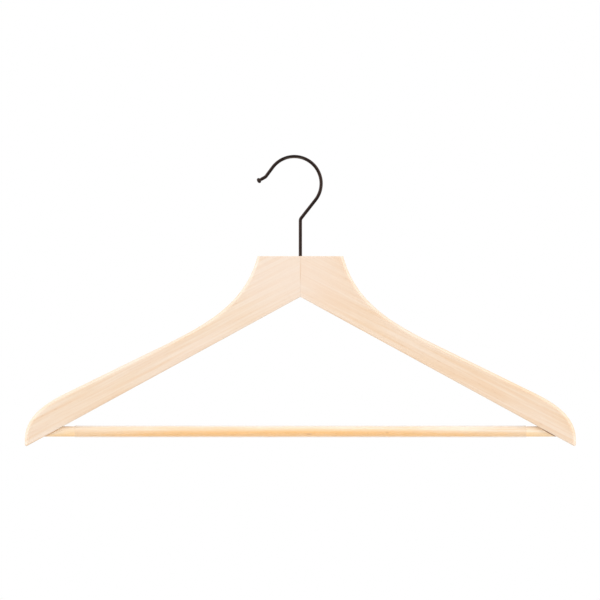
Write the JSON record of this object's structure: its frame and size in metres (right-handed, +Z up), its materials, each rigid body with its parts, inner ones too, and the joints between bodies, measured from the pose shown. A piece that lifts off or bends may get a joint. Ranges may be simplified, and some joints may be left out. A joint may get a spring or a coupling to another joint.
{
  "type": "clothes hanger",
  "caption": "Flat wooden clothes hanger with a swivelling wire hook, jointed arms and a round trouser bar in a clear non-slip sleeve.",
  "frame": {"origin": "the rail seat: the underside of the hook's crown, where the hanger rests on a rail", "axes": "+X to the right along the hanger's width, +Y to the back through its thickness, +Z up along the hook's stem"},
  "size_m": [0.45, 0.014, 0.238],
  "materials": {
    "arm_wood": "pale close-grained hardwood, sanded, clear satin lacquer",
    "bar_wood": "turned hardwood dowel, sanded, clear lacquer",
    "sleeve_vinyl": "clear soft vinyl, extruded, slightly amber",
    "hook_metal": "black nickel plating over drawn steel wire, glossy",
    "fastener_steel": "bright zinc plated",
    "nut_nylon": "natural nylon"
  },
  "bodies": {
    "swivel_hook": {"hook": "hook_metal", "swivel_washer": "fastener_steel", "lock_nut": "fastener_steel", "lock_nut_ring": "nut_nylon"},
    "wooden_frame": {"left_arm": "arm_wood", "right_arm": "arm_wood", "trouser_bar": "bar_wood", "bar_sleeve": "sleeve_vinyl", "left_bar_brad": "fastener_steel", "right_bar_brad": "fastener_steel"}
  },
  "joints": [
    {"name": "hook_swivel", "type": "hinge", "parent": "swivel_hook", "child": "wooden_frame", "pos_m": [0.005, 0, -0.0801], "axis": [0, 0, 1], "continuous": true}
  ]
}
